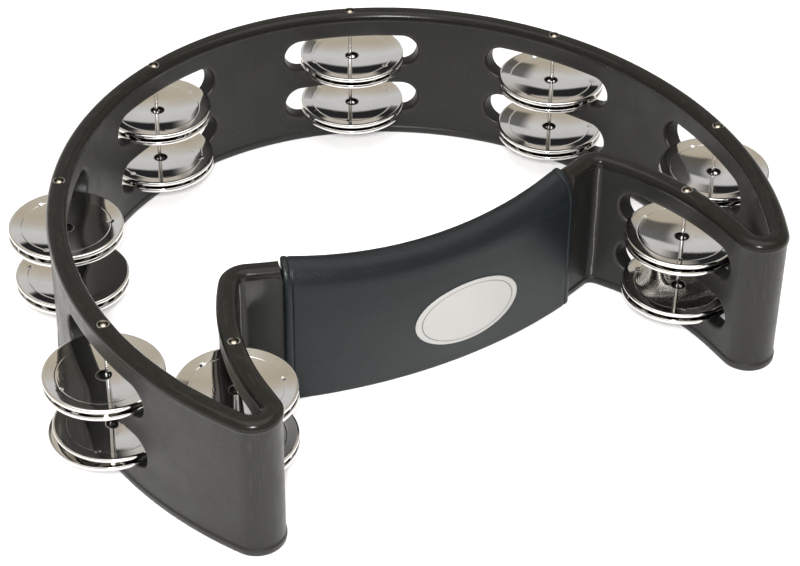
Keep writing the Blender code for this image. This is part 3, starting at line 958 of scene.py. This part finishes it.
# The rolled edge, from the flange over its crest and down the outer side, then
# back up inside it.
ROLL = [(19.7, 2.075), (19.88, 2.095), (20.06, 2.10), (20.26, 2.08), (20.44, 2.01)]
ROLL += [(20.58, 1.89), (20.67, 1.72), (20.70, 1.50), (20.70, 1.24), (20.66, 1.00)]
ROLL += [(20.58, 0.79), (20.46, 0.63), (20.30, 0.55), (20.14, 0.57), (20.04, 0.71)]
ROLL += [(20.02, 0.96), (20.10, 1.22), (20.16, 1.44), (20.08, 1.60), (19.86, 1.68)]


def disc_points(hole, dent_depth):
    """(points, faces, marks) of one dish, its hub on z 0 and its rim above."""
    dents = [math.radians(a) for a in (20, 140, 260)]
    angles = []
    for a in dents:
        angles += [a + math.radians(d) for d in np.linspace(-4.6, 4.6, 13)]
        angles += [a + math.radians(d) for d in np.linspace(4.6, 115.4, 35)[1:-1]]
    radii = [hole, hole + 0.06, hole + 0.16, hole + 0.36]
    radii += [r for r in (2.2, 2.6, 3.0, 3.6, 4.4, 5.4) if r > hole + 0.45]
    radii += list(np.linspace(6.4, 14.4, 9)) + list(np.linspace(14.9, 15.9, 6))
    radii += [16.0, 16.1, 16.2, 16.32] + list(np.linspace(16.5, 17.3, 5))
    radii += [17.9, 18.6, 19.1, 19.4, 19.55]
    upper = []
    for r in radii:
        z = dish(r)
        if r < hole + 0.3:  # the hole's edge is rounded over
            z -= 0.12 * ((hole + 0.3 - r) / 0.3) ** 2
        if abs(r - CREASE) < 0.19:  # the crease is a small soft groove
            z -= 0.035 * (1 - abs(r - CREASE) / 0.19)
        upper.append((r, z))
    lower = [(r, max(dish(r) - 0.32, 0.0)) for r in radii[::-1]]
    profile = upper + ROLL + lower
    top_rows = len(upper)
    points, faces, marks = [], [], []
    m = len(angles)
    for row, (r, z) in enumerate(profile):
        for a in angles:
            x, y = r * math.cos(a), r * math.sin(a)
            drop = 0.0
            if 14.8 < r < 17.4:
                near = min(
                    math.hypot(x - CREASE * math.cos(d), y - CREASE * math.sin(d))
                    for d in dents
                )
                drop = dent_depth * max(0.0, 1 - (near / 1.05) ** 2) ** 1.1
                if row >= top_rows:
                    drop *= 0.9
            points.append((x, y, z - drop))
            marks.append((x * MM, y * MM))
    rows = len(profile)
    for i in range(rows):
        j = (i + 1) % rows
        for k in range(m):
            l = (k + 1) % m
            faces.append((i * m + k, j * m + k, j * m + l, i * m + l))
    return points, faces, marks


# How far each pair has slid from its nail's axis, in mm in the row's x and y.
# A pair hangs loosely, so each sits a little off, always within its hole.
SLID = {
    "left_side_lower": (1.45, -0.8),
    "left_side_upper": (0.8, -0.5),
    "left_front_lower": (0.6, -0.75),
    "left_front_lower_bottom": (-1.35, -0.75),
    "left_front_upper": (-1.45, -0.6),
    "right_back_upper": (0.45, -0.65),
    "right_back_lower": (0.3, -0.9),
    "left_back_upper": (0.35, 0.1),
    "left_back_lower": (0.25, -0.4),
    "right_side_upper": (-0.3, 0.15),
    "right_side_lower": (-0.15, -0.35),
    "right_front_upper": (0.2, -0.3),
    "right_front_lower": (0.1, -0.2),
    "right_return_upper": (-0.25, -0.2),
    "right_return_lower": (-0.1, -0.45),
    "left_return_upper": (0.15, -0.3),
    "left_return_lower": (0.2, 0.2),
}


def make_jingles():
    dishes = {"top": disc_points(DISC_HOLE, 0.17), "bottom": disc_points(1.35, 0.17)}
    for name in STATIONS:
        nail = centre_of("nail_" + name)
        at = nearest_s(nail.x / MM, nail.y / MM - FIT_Y)
        tangent = Vector((math.cos(heading_at(at)), math.sin(heading_at(at)), 0))
        for row in ("lower", "upper"):
            slid = SLID.get(f"{name}_{row}", (0.0, 0.0))
            rock = random.uniform(-0.9, 0.9)
            for side in ("bottom", "top"):
                node = f"jingle_{name}_{row}_{side}"
                lo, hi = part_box(node)
                c = (lo + hi) / 2
                points, faces, marks = dishes[side]
                flip = -1.0 if side == "bottom" else 1.0
                shift = Vector(SLID.get(f"{name}_{row}_{side}", slid))
                shift += Vector((random.uniform(-0.12, 0.12), random.uniform(-0.12, 0.12)))
                off = (c.x + shift.x * MM, c.y + shift.y * MM)
                spin = Matrix.Rotation(random.uniform(0, math.tau), 4, "Z")
                tilt = math.radians(rock + random.uniform(-0.25, 0.25))
                lean = Matrix.Rotation(tilt, 4, tangent)
                hub = Matrix.Translation((*off, lo.z if side == "top" else hi.z))
                turned = [(x, y, flip * z) for x, y, z in points]
                if side == "bottom" and shift.length > 0.5:
                    # Its hole is the tight one, so the hole is punched off
                    # centre by what the dish hangs to one side.
                    back = spin.inverted().to_3x3() @ (-shift * (1 - 0.5 / shift.length)).to_3d()
                    moved = []
                    for x, y, z in turned:
                        k = min(1.0, max(0.0, (math.hypot(x, y) - 2.8) / 8.0))
                        k = 1 - k * k * (3 - 2 * k)
                        moved.append((x + back.x * k, y + back.y * k, z))
                    turned = moved
                mesh = mesh_of("disc_" + node[7:], turned, faces, sharp=50)
                layer = mesh.uv_layers.new(name="face")
                index = np.zeros(len(mesh.loops), np.int32)
                mesh.loops.foreach_get("vertex_index", index)
                layer.data.foreach_set(
                    "uv", np.array(marks)[index].astype(np.float32).ravel()
                )
                mesh.transform(hub @ lean @ spin)
                mesh.materials.append(NICKEL)
                place_object(
                    "disc_" + node[7:], mesh, node, replaces=[node]
                )


# Grip -----------------------------------------------------------------------------
GRIP_FRONT, GRIP_BACK, GRIP_TOP_MID, GRIP_TOP_END = 5.55, 4.7, 52.6, 57.4


def on_bar(angle, out, z):
    r = BAR_R + out
    return (
        BAR_C[0] + r * math.sin(angle),
        BAR_C[1] - r * math.cos(angle) + FIT_Y,
        z,
    )


def rounded(points, radii, steps):
    """A closed outline through these corners, each rounded by its radius."""
    out = []
    count = len(points)
    for i, (p, r, k) in enumerate(zip(points, radii, steps)):
        a, b = np.array(points[i - 1]), np.array(points[(i + 1) % count])
        p = np.array(p, float)
        u, v = (a - p) / np.hypot(*(a - p)), (b - p) / np.hypot(*(b - p))
        half = math.acos(max(-1, min(1, float(u @ v)))) / 2
        reach = r / math.tan(half)
        middle = (u + v) / np.hypot(*(u + v)) * r / math.sin(half) + p
        start, end = p + u * reach, p + v * reach
        t0 = math.atan2(*(start - middle)[::-1])
        t1 = math.atan2(*(end - middle)[::-1])
        while t1 - t0 > math.pi:
            t1 -= math.tau
        while t1 - t0 < -math.pi:
            t1 += math.tau
        for j in range(k + 1):
            t = t0 + (t1 - t0) * j / k
            out.append((middle[0] + r * math.cos(t), middle[1] + r * math.sin(t)))
    return out


def grip_outline(top, swell):
    """(out, z) round the sleeve at one place along it."""
    f, b = GRIP_FRONT * swell, -GRIP_BACK * swell
    corners = [(b, 0.35), (f, 0.35), (f, top), (b, top)]
    line = rounded(corners, [0.8, 0.7, 8.6, 1.6], [5, 5, 18, 6])
    # Add points along the straight runs so that the folds can be cut there.
    full = []
    for i, p in enumerate(line):
        q = line[(i + 1) % len(line)]
        gap = math.hypot(q[0] - p[0], q[1] - p[1])
        parts = max(1, round(gap / 1.1))
        full += [
            (p[0] + (q[0] - p[0]) * j / parts, p[1] + (q[1] - p[1]) * j / parts)
            for j in range(parts)
        ]
    return full


def make_grip():
    reach = math.asin(GRIP_HALF / BAR_R)
    stops = list(np.linspace(-1, 1, 141))
    size = None
    points, faces, rings = [], [], []

    def ring(share, shrink):
        nonlocal size
        top = GRIP_TOP_MID + (GRIP_TOP_END - GRIP_TOP_MID) * min(1, abs(share)) ** 2
        outline = grip_outline(53.0, 1.0)
        size = len(outline)
        middle = np.array([0.4, 27.0])
        loop = []
        for i, (o, z) in enumerate(outline):
            # The same outline everywhere, stretched up to this place's top.
            if z > 40:
                z = 40 + (z - 40) * (top - 40) / 13.0
            p = np.array([o, z])
            if shrink:
                away = p - middle
                flat = np.array([np.sign(away[0]) * min(1, abs(away[0]) / 4), np.sign(away[1]) * min(1, max(0, abs(away[1]) - 20) / 4)])
                p = p - flat * shrink
            loop.append(tuple(p))
        return loop

    def dent(share, o, z, top):
        """Folds along the top near the back, and a shallow seam by each end."""
        depth = 0.0
        if z > top - 2.5:
            for at, deep, wide in ((-3.0, 0.30, 0.28), (-1.9, 0.20, 0.22), (-0.7, 0.14, 0.22)):
                wander = 0.18 * math.sin(share * 5.1 + at) + 0.08 * math.sin(share * 17 + 2 * at)
                depth += deep * math.exp(-(((o - at - wander) / wide) ** 2))
        from_end = (1 - abs(share)) * GRIP_HALF
        depth += 0.28 * math.exp(-(((from_end - 2.6) / 0.35) ** 2))
        return depth

    sections = []
    # Closed end: from the bar outwards, over a rounded lip, then along.
    for shrink, back in ((3.2, 0.25), (1.3, 0.0), (0.9, 0.0), (0.5, 0.12), (0.2, 0.38), (0.05, 0.75)):
        sections.append((-1, shrink, back))
    along = [s for s in stops if abs(s) < 1 - 1.1 / GRIP_HALF]
    extra = [sign * (1 - d / GRIP_HALF) for sign in (-1, 1) for d in (1.7, 2.1, 2.4, 2.6, 2.8, 3.1, 3.5)]
    along = sorted(set(along) | set(extra))
    for s in along:
        sections.append((s, 0.0, None))
    for shrink, back in reversed(((3.2, 0.25), (1.3, 0.0), (0.9, 0.0), (0.5, 0.12), (0.2, 0.38), (0.05, 0.75))):
        sections.append((1, shrink, back))
    for share, shrink, back in sections:
        at = share if back is None else share * (1 - back / GRIP_HALF)
        loop = ring(at, shrink)
        top = GRIP_TOP_MID + (GRIP_TOP_END - GRIP_TOP_MID) * abs(at) ** 2
        ids = []
        count = len(loop)
        for i, (o, z) in enumerate(loop):
            a, b = np.array(loop[i - 1]), np.array(loop[(i + 1) % count])
            t = b - a
            normal = np.array([t[1], -t[0]]) / max(1e-9, math.hypot(*t))
            d = dent(at, o, z, top) if back is None else 0.0
            o2, z2 = np.array([o, z]) - normal * d
            ids.append(len(points))
            points.append(on_bar(reach * at, float(o2), float(max(z2, 0.3))))
        rings.append(ids)
    for a, b in zip(rings, rings[1:]):
        for i in range(len(a)):
            j = (i + 1) % len(a)
            faces.append((a[i], a[j], b[j], b[i]))
    faces.append(tuple(rings[0]))
    faces.append(tuple(reversed(rings[-1])))
    mesh = mesh_of("grip_padding", points, faces, sharp=60)
    grip = place_object("grip_padding", mesh, replaces=["grip_sleeve"])
    mesh.materials.append(COVER)
    return grip


def make_badge():
    lo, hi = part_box("oval_badge")
    c = (lo + hi) / 2 / MM
    half_w, half_h = 21.6, 12.8
    middle = math.asin(c.x / BAR_R)
    profile = [(0.0, 0.50), (0.2, 0.50), (0.4, 0.50), (0.6, 0.50), (0.8, 0.50), (0.93, 0.50)]
    profile += [(0.975, 0.485), (0.992, 0.42), (1.0, 0.30), (1.0, 0.10), (0.99, 0.02), (0.5, 0.02), (0.0, 0.02)]
    steps = 96
    points, uvs, faces, rings = [], [], [], []
    for r, d in profile:
        ids = []
        for k in range(1 if r == 0 else steps):
            a = math.tau * k / steps
            x, z = r * math.cos(a), r * math.sin(a)
            ids.append(len(points))
            points.append(
                on_bar(middle + x * half_w / (BAR_R + 6), GRIP_FRONT + 0.02 + d, c.z + z * half_h)
            )
            uvs.append((x, z))
        rings.append(ids)
    for a, b in zip(rings, rings[1:]):
        for k in range(steps):
            j = (k + 1) % steps
            if len(a) == 1:
                faces.append((a[0], b[k], b[j]))
            elif len(b) == 1:
                faces.append((a[k], b[0], a[j]))
            else:
                faces.append((a[k], b[k], b[j], a[j]))
    mesh = mesh_of("badge_plate", points, faces, sharp=60)
    layer = mesh.uv_layers.new(name="face")
    for loop in mesh.loops:
        layer.data[loop.index].uv = uvs[loop.vertex_index]
    badge = place_object("badge_plate", mesh, replaces=["oval_badge"])
    mesh.materials.append(BADGE)
    return badge


make_frame()
make_seams()
make_nails()
make_jingles()
make_grip()
make_badge()


# --------------------------------------------------------------- floor and light
def make_stage():
    size = 6.0
    mesh = bpy.data.meshes.new("floor")
    mesh.from_pydata(
        [(-size, -size, 0), (size, -size, 0), (size, size, 0), (-size, size, 0)],
        [],
        [(0, 1, 2, 3)],
    )
    floor = bpy.data.objects.new("floor", mesh)
    mesh.materials.append(plain_floor())
    bpy.context.scene.collection.objects.link(floor)


def area(name, at, target, size, power, colour=(1, 1, 1), size_y=None):
    light = bpy.data.lights.new(name, "AREA")
    light.energy = power
    light.color = colour
    light.size = size
    if size_y:
        light.shape = "RECTANGLE"
        light.size_y = size_y
    made = bpy.data.objects.new(name, light)
    made.location = at
    made.rotation_euler = (Vector(target) - Vector(at)).to_track_quat("-Z", "Y").to_euler()
    bpy.context.scene.collection.objects.link(made)
    return made


def make_light():
    """A pale room: a bright ceiling, a dark band of furniture and a warm wall
    below it, which only the polished metal shows."""
    world = bpy.data.worlds.new("studio")
    bpy.context.scene.world = world
    world.use_nodes = True
    tree = world.node_tree
    back = tree.nodes["Background"]
    place = tree.nodes.new("ShaderNodeTexCoord")
    parts = tree.nodes.new("ShaderNodeSeparateXYZ")
    tree.links.new(place.outputs["Generated"], parts.inputs[0])
    ramp = tree.nodes.new("ShaderNodeValToRGB")
    tree.links.new(parts.outputs["Z"], ramp.inputs["Fac"])
    stops = [
        (0.00, (0.72, 0.67, 0.60)),
        (0.25, (0.66, 0.60, 0.52)),
        (0.44, (0.72, 0.71, 0.70)),
        (0.55, (0.78, 0.78, 0.78)),
        (0.615, (0.66, 0.61, 0.53)),
        (0.68, (0.60, 0.53, 0.42)),
        (0.80, (0.66, 0.60, 0.50)),
        (1.00, (0.98, 0.96, 0.94)),
    ]
    line = ramp.color_ramp
    while len(line.elements) < len(stops):
        line.elements.new(0.5)
    for element, (at, colour) in zip(line.elements, stops):
        element.position = at
        element.color = (*colour, 1.0)

    def maths(how, a, b=0.0, c=0.0):
        node = tree.nodes.new("ShaderNodeMath")
        node.operation = how
        for socket, v in zip(node.inputs, (a, b, c)):
            if isinstance(v, (int, float)):
                socket.default_value = v
            else:
                tree.links.new(v, socket)
        return node.outputs[0]

    # Two dark cupboards hang on the far wall, 16 to 25 degrees up and, to the
    # right, 32 to 41 degrees up.
    aside = math.radians(30.0)
    x, y, z = (parts.outputs[k] for k in "XYZ")
    ahead = maths("ADD", maths("MULTIPLY", x, math.sin(aside)), maths("MULTIPLY", y, math.cos(aside)))
    right = maths("SUBTRACT", maths("MULTIPLY", x, math.cos(aside)), maths("MULTIPLY", y, math.sin(aside)))

    def edge(value, a, b):
        node = tree.nodes.new("ShaderNodeMapRange")
        node.interpolation_type = "SMOOTHSTEP"
        tree.links.new(value, node.inputs["Value"])
        node.inputs["From Min"].default_value = a
        node.inputs["From Max"].default_value = b
        return node.outputs["Result"]

    turn = maths("ARCTAN2", right, ahead)

    def dark(low, high, left_side, right_side):
        """1 inside a patch of the wall, given by heights' sines and degrees."""
        made = maths("MULTIPLY", edge(z, low - 0.005, low + 0.02), maths("SUBTRACT", 1.0, edge(z, high - 0.005, high + 0.02)))
        a, b = math.radians(left_side), math.radians(right_side)
        across = maths("MULTIPLY", edge(turn, a - 0.03, a + 0.05), maths("SUBTRACT", 1.0, edge(turn, b - 0.05, b + 0.03)))
        return maths("MULTIPLY", made, across)

    inside = maths("MAXIMUM", dark(0.275, 0.415, -12.0, 11.0), maths("MULTIPLY", 0.8, dark(0.50, 0.66, 9.0, 22.0)))
    mix = tree.nodes.new("ShaderNodeMix")
    mix.data_type = "RGBA"
    tree.links.new(inside, mix.inputs["Factor"])
    tree.links.new(ramp.outputs["Color"], mix.inputs[6])
    mix.inputs[7].default_value = (0.025, 0.025, 0.027, 1.0)
    tree.links.new(mix.outputs[2], back.inputs["Color"])
    back.inputs["Strength"].default_value = 1.0
    area("overhead_softbox", (0.0, -0.10, 1.3), (0, -0.10, 0), 1.4, 13.5)
    area("flash", (-0.36, -0.62, 0.60), (0, 0, 0.02), 0.11, 8.5)


def make_camera():
    azimuth, elevation, roll = (math.radians(a) for a in (-30.0799, 37.4485, 0.9102))
    distance, focal, u0, v0 = 832.62, 2309.7424, 413.4399, 281.9533
    back = np.array(
        [
            math.sin(azimuth) * math.cos(elevation),
            -math.cos(azimuth) * math.cos(elevation),
            math.sin(elevation),
        ]
    )
    right = np.array([math.cos(azimuth), math.sin(azimuth), 0.0])
    up = np.cross(back, right)
    at = np.array([0.0, FIT_Y, 21.894]) + back * distance

    def turn(v, axis, angle):
        return (
            v * math.cos(angle)
            + np.cross(axis, v) * math.sin(angle)
            + axis * (axis @ v) * (1 - math.cos(angle))
        )

    x, y = (u0 - 400) / focal, (283 - v0) / focal
    yaw = math.atan(x)
    pitch = math.atan(y * math.cos(yaw))
    ahead = -back
    r2, g2 = turn(right, up, yaw), turn(ahead, up, yaw)
    u2, g3 = turn(up, r2, -pitch), turn(g2, r2, -pitch)
    r3 = r2 * math.cos(roll) + u2 * math.sin(roll)
    u3 = -r2 * math.sin(roll) + u2 * math.cos(roll)
    data = bpy.data.cameras.new("camera")
    data.sensor_width = 36.0
    data.lens = 36.0 * focal / 800.0
    data.clip_start, data.clip_end = 0.01, 20.0
    camera = bpy.data.objects.new("camera", data)
    turned = Matrix(np.array([r3, u3, -g3]).T.tolist()).to_4x4()
    camera.matrix_world = Matrix.Translation(Vector(at * MM)) @ turned
    bpy.context.scene.collection.objects.link(camera)
    bpy.context.scene.camera = camera


make_stage()
make_light()
make_camera()
bpy.context.scene.view_settings.view_transform = "Standard"
